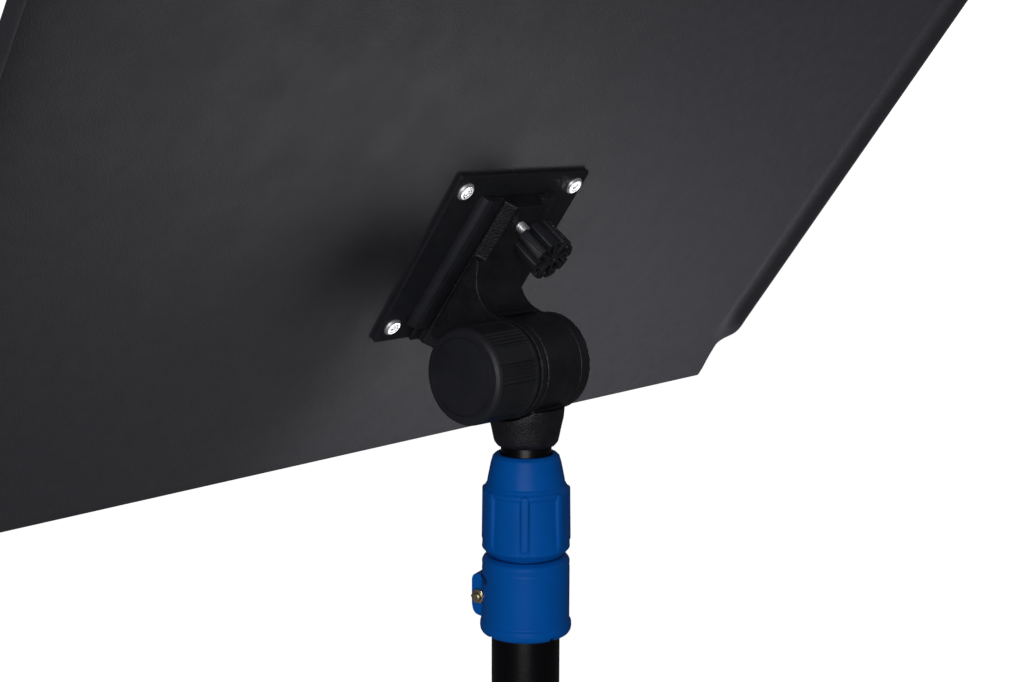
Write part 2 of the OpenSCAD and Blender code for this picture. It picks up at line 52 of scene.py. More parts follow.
# ---------------------------------------------------------------- frames
HUB = Vector(JOINTS["desk_tilt"]["pos_m"])
ACROSS = Vector((1, 0, 0))
UP_DESK = Vector(JOINTS["desk_lift"]["axis"]).normalized()
OUT_OF_DESK = UP_DESK.cross(ACROSS)
LUG_ANGLE = math.radians(-75)
LUG_Z = -103.6


def axes(x, y, z, origin):
    """The matrix from millimetres along x, y and z, at an origin in metres, to the stand's frame."""
    turn = Matrix((x, y, z)).transposed().to_4x4()
    return Matrix.Translation(origin) @ turn @ Matrix.Scale(MM, 4)


DESK = axes(ACROSS, OUT_OF_DESK, UP_DESK, HUB)
AXLE = axes(Vector((0, 0, -1)), Vector((0, 1, 0)), ACROSS, HUB)
COLUMN = axes(ACROSS, Vector((0, 1, 0)), Vector((0, 0, 1)), HUB)
CLAMP = axes(
    Vector((math.cos(LUG_ANGLE), math.sin(LUG_ANGLE), 0)),
    Vector((-math.sin(LUG_ANGLE), math.cos(LUG_ANGLE), 0)),
    Vector((0, 0, 1)),
    HUB + Vector((0, 0, LUG_Z * MM)),
)


# ---------------------------------------------------------------- camera and light
CAMERA_FROM_HUB = Vector((0.49345, 0.42172, 0.10846))
VIEW_FORWARD = Vector((-0.745467, -0.649554, -0.149527))
VIEW_RIGHT = Vector((-0.657129, 0.753776, 0.001672))
LENS = 53.91


def add_camera():
    data = bpy.data.cameras.new("camera")
    data.lens = LENS
    data.sensor_width = 36
    data.clip_start = 0.01
    data.clip_end = 200
    camera = bpy.data.objects.new("camera", data)
    up = VIEW_RIGHT.cross(VIEW_FORWARD)
    turn = Matrix((VIEW_RIGHT, up, -VIEW_FORWARD)).transposed().to_4x4()
    camera.matrix_world = Matrix.Translation(HUB + CAMERA_FROM_HUB) @ turn
    bpy.context.scene.collection.objects.link(camera)
    bpy.context.scene.camera = camera


def add_area(name, place, target, size, power):
    data = bpy.data.lights.new(name, "AREA")
    data.shape = "RECTANGLE"
    data.size, data.size_y = size
    data.energy = power
    light = bpy.data.objects.new(name, data)
    light.location = place
    light.rotation_euler = (Vector(target) - Vector(place)).to_track_quat("-Z", "Y").to_euler()
    light.visible_camera = False
    bpy.context.scene.collection.objects.link(light)
    return light


def light_only(light, objects):
    """The light falls on these objects alone, as from a shaded studio lamp."""
    receivers = bpy.data.collections.new(light.name + "_receivers")
    for obj in objects:
        receivers.objects.link(obj)
    light.light_linking.receiver_collection = receivers


def add_world(below, above):
    """A white studio to the camera, whose light on the object is stronger from above."""
    world = bpy.data.worlds.new("studio")
    bpy.context.scene.world = world
    world.use_nodes = True
    tree = world.node_tree
    backdrop = tree.nodes["Background"]
    backdrop.inputs["Strength"].default_value = 1.1
    backdrop.inputs["Color"].default_value = (1, 1, 1, 1)
    room = tree.nodes.new("ShaderNodeBackground")
    split = tree.nodes.new("ShaderNodeSeparateXYZ")
    tree.links.new(tree.nodes.new("ShaderNodeTexCoord").outputs["Generated"], split.inputs[0])
    rise = tree.nodes.new("ShaderNodeMapRange")
    rise.interpolation_type = "SMOOTHSTEP"
    limits = {"From Min": -0.1, "From Max": 0.7, "To Min": below, "To Max": above}
    for socket, value in limits.items():
        rise.inputs[socket].default_value = value
    tree.links.new(split.outputs["Z"], rise.inputs["Value"])
    tree.links.new(rise.outputs["Result"], room.inputs["Strength"])
    choose = tree.nodes.new("ShaderNodeMixShader")
    path = tree.nodes.new("ShaderNodeLightPath")
    tree.links.new(path.outputs["Is Camera Ray"], choose.inputs[0])
    tree.links.new(room.outputs[0], choose.inputs[1])
    tree.links.new(backdrop.outputs[0], choose.inputs[2])
    tree.links.new(choose.outputs[0], tree.nodes["World Output"].inputs["Surface"])


def add_floor(reach, bounce):
    """A white floor that sends only a little light back up to the object."""
    mesh = bpy.data.meshes.new("floor")
    corners = [(-reach, -reach, 0), (reach, -reach, 0), (reach, reach, 0), (-reach, reach, 0)]
    mesh.from_pydata(corners, [], [(0, 1, 2, 3)])
    floor = bpy.data.objects.new("floor", mesh)
    bpy.context.scene.collection.objects.link(floor)
    material = bpy.data.materials.new("floor_paper")
    material.use_nodes = True
    tree = material.node_tree
    tree.nodes.remove(tree.nodes["Principled BSDF"])
    paper = tree.nodes.new("ShaderNodeBsdfDiffuse")
    paper.inputs["Color"].default_value = (0.2, 0.2, 0.2, 1)
    glow = tree.nodes.new("ShaderNodeEmission")
    glow.inputs["Strength"].default_value = 0.98
    seen = tree.nodes.new("ShaderNodeAddShader")
    felt = tree.nodes.new("ShaderNodeBsdfDiffuse")
    felt.inputs["Color"].default_value = (bounce, bounce, bounce, 1)
    choose = tree.nodes.new("ShaderNodeMixShader")
    tree.links.new(paper.outputs[0], seen.inputs[0])
    tree.links.new(glow.outputs[0], seen.inputs[1])
    tree.links.new(tree.nodes.new("ShaderNodeLightPath").outputs["Is Camera Ray"], choose.inputs[0])
    tree.links.new(felt.outputs[0], choose.inputs[1])
    tree.links.new(seen.outputs[0], choose.inputs[2])
    tree.links.new(choose.outputs[0], tree.nodes["Material Output"].inputs["Surface"])
    mesh.materials.append(material)


# ---------------------------------------------------------------- materials
class Nodes:
    """Short calls for building one material's node tree."""

    def __init__(self, name):
        self.material = bpy.data.materials.new(name)
        MATERIALS[name] = self.material
        self.material.use_nodes = True
        self.tree = self.material.node_tree
        self.shader = self.tree.nodes["Principled BSDF"]
        self.place = self.add("ShaderNodeTexCoord").outputs["Object"]

    def add(self, kind, **values):
        made = self.tree.nodes.new(kind)
        for key, value in values.items():
            setattr(made, key, value)
        return made

    def link(self, source, target):
        self.tree.links.new(source, target)

    def noise(self, scale, detail=2.0, roughness=0.5):
        made = self.add("ShaderNodeTexNoise")
        made.inputs["Scale"].default_value = scale
        made.inputs["Detail"].default_value = detail
        made.inputs["Roughness"].default_value = roughness
        self.link(self.place, made.inputs["Vector"])
        return made.outputs["Fac"]

    def cells(self, scale):
        made = self.add("ShaderNodeTexVoronoi")
        made.inputs["Scale"].default_value = scale
        self.link(self.place, made.inputs["Vector"])
        return made.outputs["Distance"]

    def ramp(self, source, low, high, start=0.3, end=0.7):
        made = self.add("ShaderNodeMapRange")
        made.inputs["From Min"].default_value = start
        made.inputs["From Max"].default_value = end
        made.inputs["To Min"].default_value = low
        made.inputs["To Max"].default_value = high
        self.link(source, made.inputs["Value"])
        return made.outputs["Result"]

    def mix(self, fac, first, second):
        """A blend of two colours. The node has one set of sockets per data type."""
        colour_a, colour_b, colour_out = 6, 7, 2
        made = self.add("ShaderNodeMix", data_type="RGBA")
        made.inputs[colour_a].default_value = (*first, 1)
        made.inputs[colour_b].default_value = (*second, 1)
        self.link(fac, made.inputs[0])
        return made.outputs[colour_out]

    def math(self, kind, first, second):
        made = self.add("ShaderNodeMath", operation=kind)
        for socket, value in zip(made.inputs, (first, second)):
            if isinstance(value, (int, float)):
                socket.default_value = value
            else:
                self.link(value, socket)
        return made.outputs[0]

    def bump(self, height, distance, strength=1.0, normal=None):
        made = self.add("ShaderNodeBump")
        made.inputs["Distance"].default_value = distance
        made.inputs["Strength"].default_value = strength
        self.link(height, made.inputs["Height"])
        if normal is not None:
            self.link(normal, made.inputs["Normal"])
        return made.outputs["Normal"]

    def set(self, **values):
        for key, value in values.items():
            self.shader.inputs[key.replace("_", " ")].default_value = value

    def feed(self, socket, source):
        self.link(source, self.shader.inputs[socket])


def coat(name, low, high, rough, grain_scale, grain_depth, gloss):
    """Powder coat: a dark colour that varies a little, and a fine orange-peel grain."""
    n = Nodes(name)
    n.feed("Base Color", n.mix(n.ramp(n.noise(180.0, 4.0, 0.6), 0, 1), low, high))
    n.feed("Roughness", n.ramp(n.noise(54.0, 3.0), *rough))
    peel = n.noise(grain_scale, 2.0, 0.55)
    pits = n.math("MULTIPLY", n.cells(grain_scale * 0.8), 0.5)
    n.feed("Normal", n.bump(n.math("ADD", peel, pits), grain_depth))
    n.set(Specular_IOR_Level=gloss)
    return n.material


def moulded(name, low, high, rough, grain_scale, grain_depth, gloss):
    """Moulded plastic: a fine spark-eroded grain and slow changes of gloss."""
    n = Nodes(name)
    slow = n.noise(60.0, 3.0)
    n.feed("Base Color", n.mix(n.ramp(slow, 0, 1), low, high))
    n.feed("Roughness", n.ramp(n.noise(220.0, 3.0), *rough))
    fine = n.bump(n.noise(grain_scale, 2.0), grain_depth)
    n.feed("Normal", n.bump(n.noise(90.0, 2.0), 0.00015, 0.25, fine))
    n.set(Specular_IOR_Level=gloss)
    return n.material


def plated(name, low, high, rough):
    """Zinc plate over turned steel: bright, faintly cloudy and fine-scratched."""
    n = Nodes(name)
    cloud = n.noise(700.0, 4.0, 0.6)
    n.feed("Base Color", n.mix(n.ramp(cloud, 0, 1), low, high))
    n.feed("Roughness", n.ramp(n.noise(1600.0, 3.0), *rough))
    n.feed("Normal", n.bump(n.noise(3200.0, 2.0), 0.00003))
    n.set(Metallic=1.0)
    return n.material


def rubber(name, low, high):
    """Rubber: dull, with worn paler patches."""
    n = Nodes(name)
    n.feed("Base Color", n.mix(n.ramp(n.noise(120.0, 4.0), 0, 1), low, high))
    n.feed("Roughness", n.ramp(n.noise(300.0, 3.0), 0.7, 0.9))
    n.feed("Normal", n.bump(n.noise(1500.0, 3.0), 0.0001))
    return n.material


def make_materials():
    """One material for each slot. Each has its darkest and lightest linear colour and its range of
    roughness, and then the scale and depth of its grain and its gloss."""
    coat("desk_coat", (0.031, 0.03, 0.0355), (0.036, 0.035, 0.041), (0.52, 0.6),
         1500, 0.00012, 0.08)
    coat("plate_coat", (0.012, 0.0125, 0.0165), (0.018, 0.0185, 0.023), (0.42, 0.52),
         1500, 0.0001, 0.25)
    coat("cast_coat", (0.007, 0.007, 0.0095), (0.014, 0.014, 0.0175), (0.36, 0.46),
         1500, 0.00025, 0.3)
    coat("tube_coat", (0.0012, 0.0012, 0.0022), (0.002, 0.002, 0.0032), (0.26, 0.34),
         700, 0.00002, 0.25)
    moulded("knob_plastic", (0.012, 0.0125, 0.0165), (0.019, 0.0195, 0.024), (0.42, 0.52),
            2600, 0.00008, 0.3)
    moulded("joint_plastic", (0.007, 0.007, 0.009), (0.012, 0.012, 0.014), (0.45, 0.56),
            1800, 0.00009, 0.35)
    moulded("friction_material", (0.005, 0.005, 0.006), (0.009, 0.009, 0.01), (0.55, 0.65),
            2000, 0.00008, 0.3)
    moulded("clutch_plastic", (0.0002, 0.088, 0.4), (0.0004, 0.096, 0.43), (0.34, 0.42),
            2400, 0.00004, 0.08)
    plated("zinc", (0.8, 0.8, 0.82), (0.92, 0.92, 0.94), (0.36, 0.5))
    plated("yellow_zinc", (0.6, 0.48, 0.28), (0.75, 0.66, 0.46), (0.2, 0.36))
    rubber("foot_rubber", (0.018, 0.018, 0.019), (0.04, 0.039, 0.038))


# ---------------------------------------------------------------- mesh helpers
def soften(points, radius, steps=4, closed=True):
    """A polyline with its corners rounded; radius is one number or one per point."""
    count = len(points)
    radii = [radius] * count if isinstance(radius, (int, float)) else radius
    out = []
    for i, p in enumerate(points):
        here = Vector(p)
        if radii[i] <= 0 or (not closed and i in (0, count - 1)):
            out.append(here)
            continue
        before = Vector(points[i - 1]) - here
        after = Vector(points[(i + 1) % count]) - here
        angle = before.angle(after)
        cut = radii[i] / max(math.tan(angle / 2), 0.05)
        a = here + before.normalized() * min(cut, before.length * 0.48)
        b = here + after.normalized() * min(cut, after.length * 0.48)
        for k in range(steps + 1):
            t = k / steps
            out.append(a * (1 - t) ** 2 + here * 2 * t * (1 - t) + b * t ** 2)
    return out


def arc(cx, cy, r, start, end, steps):
    """Points of a circular arc, with its angles in degrees."""
    turn = [math.radians(start + (end - start) * k / steps) for k in range(steps + 1)]
    return [(cx + r * math.cos(t), cy + r * math.sin(t)) for t in turn]


def polygon(r, sides):
    """The corners of a regular polygon in a circle of radius r."""
    turns = [2 * math.pi * k / sides for k in range(sides)]
    return [(r * math.cos(t), r * math.sin(t)) for t in turns]


def new_object(name, verts, faces, matrix):
    """An object from points in millimetres, with doubled points merged and its faces outwards."""
    mesh = bpy.data.meshes.new(name)
    mesh.from_pydata([tuple(v) for v in verts], [], faces)
    mesh.transform(matrix)
    bm = bmesh.new()
    bm.from_mesh(mesh)
    bmesh.ops.remove_doubles(bm, verts=bm.verts, dist=1e-7)
    bmesh.ops.recalc_face_normals(bm, faces=bm.faces)
    bm.to_mesh(mesh)
    bm.free()
    made = bpy.data.objects.new(name, mesh)
    bpy.context.scene.collection.objects.link(made)
    return made


def revolve(name, profile, matrix, segments=128, closed=True, shape=None):
    """A profile of (radius, height) turned about z. shape(angle, r, z) may change the radius."""
    verts, rows = [], []
    for p in profile:
        r, z = p[0], p[1]
        if r < 1e-6:
            rows.append([len(verts)])
            verts.append((0, 0, z))
            continue
        row = []
        for k in range(segments):
            turn = 2 * math.pi * k / segments
            reach = shape(turn, r, z) if shape else r
            row.append(len(verts))
            verts.append((reach * math.cos(turn), reach * math.sin(turn), z))
        rows.append(row)
    pairs = list(zip(rows, rows[1:])) + ([(rows[-1], rows[0])] if closed else [])
    faces = []
    for low, high in pairs:
        if len(low) == 1 and len(high) == 1:
            continue
        for k in range(segments):
            m = (k + 1) % segments
            ring = [low[k % len(low)], low[m % len(low)], high[m % len(high)], high[k % len(high)]]
            faces.append(tuple(dict.fromkeys(ring)))
    return new_object(name, verts, faces, matrix)


def prism(name, outline, low, high, matrix, along="z"):
    """An outline pushed from low to high along one axis of its frame."""
    place = {
        "z": lambda p, h: (p[0], p[1], h),
        "x": lambda p, h: (h, p[0], p[1]),
        "y": lambda p, h: (p[0], h, p[1]),
    }[along]
    count = len(outline)
    verts = [place(p, low) for p in outline] + [place(p, high) for p in outline]
    faces = [(k, (k + 1) % count, count + (k + 1) % count, count + k) for k in range(count)]
    faces += [tuple(range(count)), tuple(range(count, 2 * count))]
    return new_object(name, verts, faces, matrix)


def apply_modifiers(obj):
    """The object's mesh as its modifiers leave it."""
    bpy.context.view_layer.update()
    graph = bpy.context.evaluated_depsgraph_get()
    mesh = bpy.data.meshes.new_from_object(obj.evaluated_get(graph))
    obj.modifiers.clear()
    obj.data = mesh
    return obj


def bevel(obj, width, segments=3, angle=35):
    """Small rounds along the sharp edges, width in millimetres."""
    modifier = obj.modifiers.new("bevel", "BEVEL")
    modifier.width = width * MM
    modifier.segments = segments
    modifier.limit_method = "ANGLE"
    modifier.angle_limit = math.radians(angle)
    return apply_modifiers(obj)


def join(name, parts):
    """Several objects' meshes as one object."""
    bm = bmesh.new()
    for part in parts:
        bm.from_mesh(part.data)
        bpy.data.objects.remove(part)
    mesh = bpy.data.meshes.new(name)
    bm.to_mesh(mesh)
    bm.free()
    made = bpy.data.objects.new(name, mesh)
    bpy.context.scene.collection.objects.link(made)
    return made


def cast(obj, voxel, rounds=6):
    """Melts overlapping parts into one body with soft fillets. voxel is in millimetres."""
    melt = obj.modifiers.new("melt", "REMESH")
    melt.mode = "VOXEL"
    melt.voxel_size = voxel * MM
    relax = obj.modifiers.new("relax", "SMOOTH")
    relax.factor = 0.5
    relax.iterations = rounds
    return apply_modifiers(obj)


def cut(obj, tool):
    """Takes a tool's solid away from an object."""
    modifier = obj.modifiers.new("cut", "BOOLEAN")
    modifier.operation = "DIFFERENCE"
    modifier.solver = "EXACT"
    modifier.object = tool
    apply_modifiers(obj)
    bpy.data.objects.remove(tool)
    return obj


def shade(obj, angle=40):
    """Smooth shading, with edges sharper than the angle kept sharp."""
    mesh = obj.data
    mesh.polygons.foreach_set("use_smooth", [True] * len(mesh.polygons))
    bm = bmesh.new()
    bm.from_mesh(mesh)
    limit = math.radians(angle)
    for edge in bm.edges:
        if len(edge.link_faces) == 2:
            edge.smooth = edge.calc_face_angle(0) < limit
    bm.to_mesh(mesh)
    bm.free()


def finish_piece(obj, slot, body, replaced=(), angle=40):
    """Gives a piece its material, its body and the CAD nodes that it stands for."""
    shade(obj, angle)
    obj.data.materials.clear()
    obj.data.materials.append(MATERIALS[slot])
    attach(obj, body)
    if replaced:
        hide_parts(*replaced)
    return obj


def smooth(value, start, end):
    """0 before start, 1 after end, and smooth between them."""
    t = min(max((value - start) / (end - start), 0), 1)
    return t * t * (3 - 2 * t)


def nearest(angle, first, count):
    """The signed angle to the nearest of count equal stations, the first of which is at first."""
    pitch = 2 * math.pi / count
    return (angle - first + pitch / 2) % pitch - pitch / 2


# ---------------------------------------------------------------- desk
PANEL_BACK = -49.3
SHEET_T = 1.2
SHEET_MID = PANEL_BACK - SHEET_T / 2
DESK_HALF = 265.2
DESK_TOP = 255.0
DESK_LOW = -101.8
FLANGE_R = 6.0
FLANGE_STRAIGHT = 5.0
FADE_TOP = -43.0
FADE_LOW = -75.0
CORNER_R = 30.0
SHELF_DEPTH = 52.0
SHELF_LIP = 10.0
SHELF_R = 3.0
INSET = 20.0
BEND_X = DESK_HALF - FLANGE_R
MID_R = FLANGE_R - SHEET_T / 2
BEND_LEN = MID_R * math.pi / 2
BLANK_HALF = BEND_X + BEND_LEN + FLANGE_STRAIGHT
CORNER_HALF = BLANK_HALF + 4.0


def edge_line(fold, count=12):
    """The sheet's middle line past the bend line, outwards and towards the back, for one fold."""
    r = BEND_LEN / fold
    line = [(-INSET, 0), (-INSET / 2, 0), (-2, 0)]
    turns = [fold * k / count for k in range(count + 1)]
    line += [(r * math.sin(t), r * (1 - math.cos(t))) for t in turns]
    end = Vector(line[-1])
    run = Vector((math.cos(fold), math.sin(fold)))
    return line + [tuple(end + run * FLANGE_STRAIGHT * k / 3) for k in (1, 2, 3)]


def edge_stations():
    """Points of the bend line round the right half, each with its outward direction and fold."""
    fade_count, corner_count = 28, 16
    out = []
    for k in range(fade_count, -1, -1):
        f = k / fade_count
        fold = max(math.radians(0.4), math.pi / 2 * (1 - smooth(f, 0, 1)))
        out.append(((BEND_X, FADE_TOP + (FADE_LOW - FADE_TOP) * f), (1, 0), fold))
    inner = CORNER_R - FLANGE_R
    side_top = DESK_TOP - CORNER_R
    out.append(((BEND_X, side_top * 0.3), (1, 0), math.pi / 2))
    for k in range(corner_count + 1):
        turn = math.pi / 2 * k / corner_count
        e = (math.cos(turn), math.sin(turn))
        out.append(((DESK_HALF - CORNER_R + inner * e[0], side_top + inner * e[1]), e, math.pi / 2))
    return out


def shelf_rows():
    """The middle line of the sheet below the fade, in (y, z): blank, bend, shelf, bend, lip."""
    r = SHELF_R - SHEET_T / 2
    z0 = DESK_LOW + SHELF_R
    y0 = PANEL_BACK - SHELF_R
    y1 = PANEL_BACK - SHELF_DEPTH + SHELF_R
    rows = [(SHEET_MID, FADE_LOW - 8), (SHEET_MID, z0 + 4)]
    rows += arc(y0, z0, r, 0, -90, 6)
    rows += [(y0 - 6, z0 - r), (y1 + 6, z0 - r)]
    rows += arc(y1, z0, r, -90, -180, 6)
    return rows + [(y1 - r, DESK_LOW + SHELF_LIP)]


def edge_rings(verts):
    """The flanged edge from the foot of the right side, over the top, to the foot of the left."""
    right = edge_stations()
    left = [((-p[0], p[1]), (-e[0], e[1]), fold) for p, e, fold in reversed(right)]
    rings = []
    for p, e, fold in right + left:
        ring = []
        for s, rise in edge_line(fold):
            ring.append(len(verts))
            verts.append((p[0] + e[0] * s, SHEET_MID + rise, p[1] + e[1] * s))
        rings.append(ring)
    return rings


def hang_shelf(top_row, verts):
    """Faces of the blank, the shelf and the lip, which hang from the row across the desk's foot."""
    inner = BEND_X - INSET
    faces = []
    previous = top_row
    for y, z in shelf_rows():
        grow = smooth(z if y > SHEET_MID - 1 else DESK_LOW, FADE_LOW, DESK_LOW + SHELF_R)
        stretch = 1 + (CORNER_HALF - BLANK_HALF) / (BLANK_HALF - inner) * grow
        row = []
        for i in top_row:
            x = verts[i][0]
            wide = math.copysign(inner + (abs(x) - inner) * stretch, x)
            row.append(len(verts))
            verts.append((wide, y, z))
        faces += [(previous[k], previous[k + 1], row[k + 1], row[k]) for k in range(len(row) - 1)]
        previous = row
    return faces


def build_desk():
    """The desk's middle surface, thickened to its sheet."""
    verts, faces = [], []
    rings = edge_rings(verts)
    for low, high in zip(rings, rings[1:]):
        faces += [(low[k], low[k + 1], high[k + 1], high[k]) for k in range(len(low) - 1)]
    faces += hang_shelf(list(reversed(rings[-1])) + rings[0], verts)
    faces.append(tuple(ring[0] for ring in rings))
    desk = new_object("desk_sheet", verts, faces, DESK)
    thick = desk.modifiers.new("sheet", "SOLIDIFY")
    thick.thickness = SHEET_T * MM
    thick.offset = 0
    thick.use_even_offset = True
    apply_modifiers(desk)
    bevel(desk, 0.3, 2, 50)
    return finish_piece(desk, "desk_coat", "desk", ["desk_panel"], 50)


# ---------------------------------------------------------------- mounting plate, rails and screws
PLATE_HALF = 41.3
PLATE_LOW, PLATE_HIGH = -23.0, 66.7
PLATE_T = 2.5
PLATE_FACE = PANEL_BACK + PLATE_T
PLATE_CHAMFER = 1.0
SCREW_X = 35.0
SCREW_ZS = (-14.3, 59.3)
TAPER = 0.045
RAIL_TOP, RAIL_LEN = 56.0, 70.0
LIP_IN = 12.3
# Turns a shape's z from up the slope to out of the desk's back
OUT_OF_PLATE = Matrix.Rotation(-math.pi / 2, 4, "X")


def build_plate():
    """The flat plate with its corners cut."""
    outline = []
    corners = ((1, -1, PLATE_LOW), (1, 1, PLATE_HIGH), (-1, 1, PLATE_HIGH), (-1, -1, PLATE_LOW))
    for sx, sz, z in corners:
        pair = [(sx * (PLATE_HALF - PLATE_CHAMFER), z), (sx * PLATE_HALF, z - sz * PLATE_CHAMFER)]
        outline += pair if sx * sz < 0 else pair[::-1]
    plate = prism("plate", soften(outline, 0.6), PANEL_BACK, PLATE_FACE, DESK, "y")
    bevel(plate, 0.45, 3)
    finish_piece(plate, "plate_coat", "desk", ["mounting_plate"])


def build_rails():
    """Each rail is a broad rounded bar, whose inner lip holds the tongue's flange."""
    profile = [(23.6, -0.02), (23.3, 1.9), (22.1, 3.8), (20.2, 4.65), (17.8, 4.8), (14.6, 4.6),
               (13.0, 4.2), (LIP_IN, 3.4), (LIP_IN, 2.4), (17.7, 2.4), (17.7, -0.02)]
    radii = [0, 1.0, 1.2, 1.2, 1.2, 1.0, 0.6, 0.3, 0.2, 0.3, 0]
    for side, name in ((1, "rail_right"), (-1, "rail_left")):
        place = Matrix.Translation((side * LIP_IN, PLATE_FACE, RAIL_TOP))
        turn = Matrix.Rotation(side * -math.atan(TAPER), 4, "Y")
        back = Matrix.Translation((-side * LIP_IN, 0, 0))
        outline = [(side * p[0], p[1]) for p in soften(profile, radii, 5)]
        rail = prism(name + "_skin", outline, -RAIL_LEN, 0, DESK @ (place @ turn @ back))
        bevel(rail, 0.35, 3)
        finish_piece(rail, "plate_coat", "desk", [name])


def build_screws():
    """Low button heads with a hexagon socket, each turned its own way."""
    profile = soften([(0, 1.3), (2.0, 1.35), (2.35, 1.68), (3.35, 1.55), (4.2, 0.6), (4.2, 0), (0, 0)],
                     [0, 0.3, 0.35, 0.9, 0.4, 0.1, 0], 5, closed=False)
    places = [(x, z) for x in (-SCREW_X, SCREW_X) for z in SCREW_ZS]
    heads = []
    for number, (x, z) in enumerate(places):
        spin = Matrix.Rotation(0.4 + 0.9 * number, 4, "Z")
        place = DESK @ Matrix.Translation((x, PLATE_FACE, z)) @ OUT_OF_PLATE @ spin
        head = revolve("head", profile, place, 96, closed=False)
        heads.append(cut(head, prism("socket", polygon(1.7, 6), 0.4, 3, place)))
    return finish_piece(join("plate_screw_heads", heads), "zinc", "desk", ["plate_screws"], 35)


# ---------------------------------------------------------------- tilt hinge
DRUM_R = 21.4
EAR_IN, EAR_OUT, EAR_FAR = 11.3, 14.5, 17.1
DRUM_NEAR, DRUM_FAR = 10.5, -11.2
TONGUE_LOW = -23.0
BLOCK_H = 8.8
BLOCK_HALF, BLOCK_SHOULDER, BLOCK_SLOPE = 11.75, 4.4, 3.75
NECK_GAP = 5.4
# Sizes of the voxels and rounds of smoothing that melt a casting's parts together
CAST_VOXEL, CAST_ROUNDS = 0.45, 4


def tapered(half_top, h1, h2):
    """The tongue's slab, which widens downwards, from height h1 to h2 above the plate."""
    half_low = half_top + TAPER * (RAIL_TOP - TONGUE_LOW)
    outline = [(-half_top, RAIL_TOP), (half_top, RAIL_TOP), (half_low, TONGUE_LOW), (-half_low, TONGUE_LOW)]
    return prism("slab", soften(outline, 1.0), PLATE_FACE + h1, PLATE_FACE + h2, DESK, "y")


def block_slab():
    """The block on the tongue, which widens downwards; its sides slope in above the rails' lips."""
    rings = []
    for z in (TONGUE_LOW, RAIL_TOP):
        half = BLOCK_HALF + TAPER * (RAIL_TOP - z)
        top = half - BLOCK_SLOPE
        corners = [(-half, 0.4), (half, 0.4), (half, BLOCK_SHOULDER), (top, BLOCK_H),
                   (-top, BLOCK_H), (-half, BLOCK_SHOULDER)]
        rings.append([(x, PLATE_FACE + h, z) for x, h in corners])
    count = len(rings[0])
    faces = [(k, (k + 1) % count, count + (k + 1) % count, count + k) for k in range(count)]
    faces += [tuple(range(count)), tuple(range(count, 2 * count))]
    return new_object("block", rings[0] + rings[1], faces, DESK)


def neck_line():
    """The neck's upper outline in the desk's (y, z), from the tongue's block to the drum."""
    start = [(PLATE_FACE + NECK_GAP, 27.4), (PLATE_FACE + BLOCK_H, 27.2)]
    return start + arc(-22.4, 28.2, 14.2, 208, 288, 14) + [(-14.5, 15.6)]


def build_arm():
    """Tongue, neck and the two ears, melted together as one casting."""
    far_ear = arc(0, 0, DRUM_R, 0, 355, 71)
    foot = [(-18.5, -16.5), (PLATE_FACE + NECK_GAP, -16.5)]
    web = neck_line() + arc(0, 0, DRUM_R + 0.8, 134, 222, 16) + foot
    ear = neck_line() + [(-12, 14)] + arc(0, 0, DRUM_R, 128, -132, 72) + foot
    parts = [
        tapered(17.3, 0.15, 2.0),
        block_slab(),
        prism("web", web, -EAR_IN - 0.3, EAR_IN + 0.3, DESK, "x"),
        prism("ear_a", ear, -EAR_OUT, -EAR_IN, DESK, "x"),
        prism("far_disc", far_ear, -EAR_FAR, -EAR_IN, DESK, "x"),
        prism("ear_b", ear, EAR_IN, EAR_OUT, DESK, "x"),
    ]
    arm = cast(join("tilt_arm_casting", parts), CAST_VOXEL, CAST_ROUNDS)
    finish_piece(arm, "cast_coat", "tilt_arm", ["slider_arm"], 60)


def build_socket():
    """The drum between the ears and the cone below it that holds the tube."""
    section = [(0, DRUM_FAR), (DRUM_R, DRUM_FAR), (DRUM_R, DRUM_NEAR), (0, DRUM_NEAR)]
    drum = revolve("drum", soften(section, [0, 0.1, 0.9, 0]), AXLE, 160, closed=False)
    cone = [(0, -35), (12.3, -35), (13.9, -33), (14.5, -30.3), (15.0, -27.7), (16.2, -22.4),
            (16.6, -18), (0, -18)]
    boss = revolve("boss", soften(cone, [0, 0.5, 1.2, 0, 0, 2, 0, 0]), COLUMN, 128, closed=False)
    reach, past = DRUM_R + 0.7, 30
    for side in (-1, 1):
        near, far = side * DRUM_NEAR, side * past
        room = [(0, near), (reach, near), (reach, far), (0, far)]
        cut(boss, revolve("room_for_ear", room, AXLE, 96, closed=False))
    socket = cast(join("tilt_socket_casting", [drum, boss]), CAST_VOXEL, CAST_ROUNDS)
    finish_piece(socket, "cast_coat", "upper_column", ["tilt_socket"], 60)


KNOB_IN, KNOB_OUT, KNOB_R = 15.8, 40.7, 21.0
KNOB_BANDS = 8
RIBS_PER_BAND = 5


def knob_grip(turn, r, z):
    """Bands of fine ribs between smooth pads, fading out at both ends of the grip."""
    if r < KNOB_R - 1.2:
        return r
    length = smooth(z, KNOB_IN + 1.6, KNOB_IN + 2.6) * (1 - smooth(z, KNOB_OUT - 3.4, KNOB_OUT - 2.2))
    pitch = 2 * math.pi / KNOB_BANDS
    off = nearest(turn, 0.12, KNOB_BANDS)
    band = pitch * 0.27
    if abs(off) < band:
        wave = 0.5 - 0.5 * math.cos(2 * math.pi * (off + band) / (2 * band) * RIBS_PER_BAND)
        return r - 0.55 * (1 - wave) * length
    pad = (abs(off) - band) / (pitch / 2 - band)
    return r - length * (0.25 + 0.35 * smooth(pad, 0, 1))


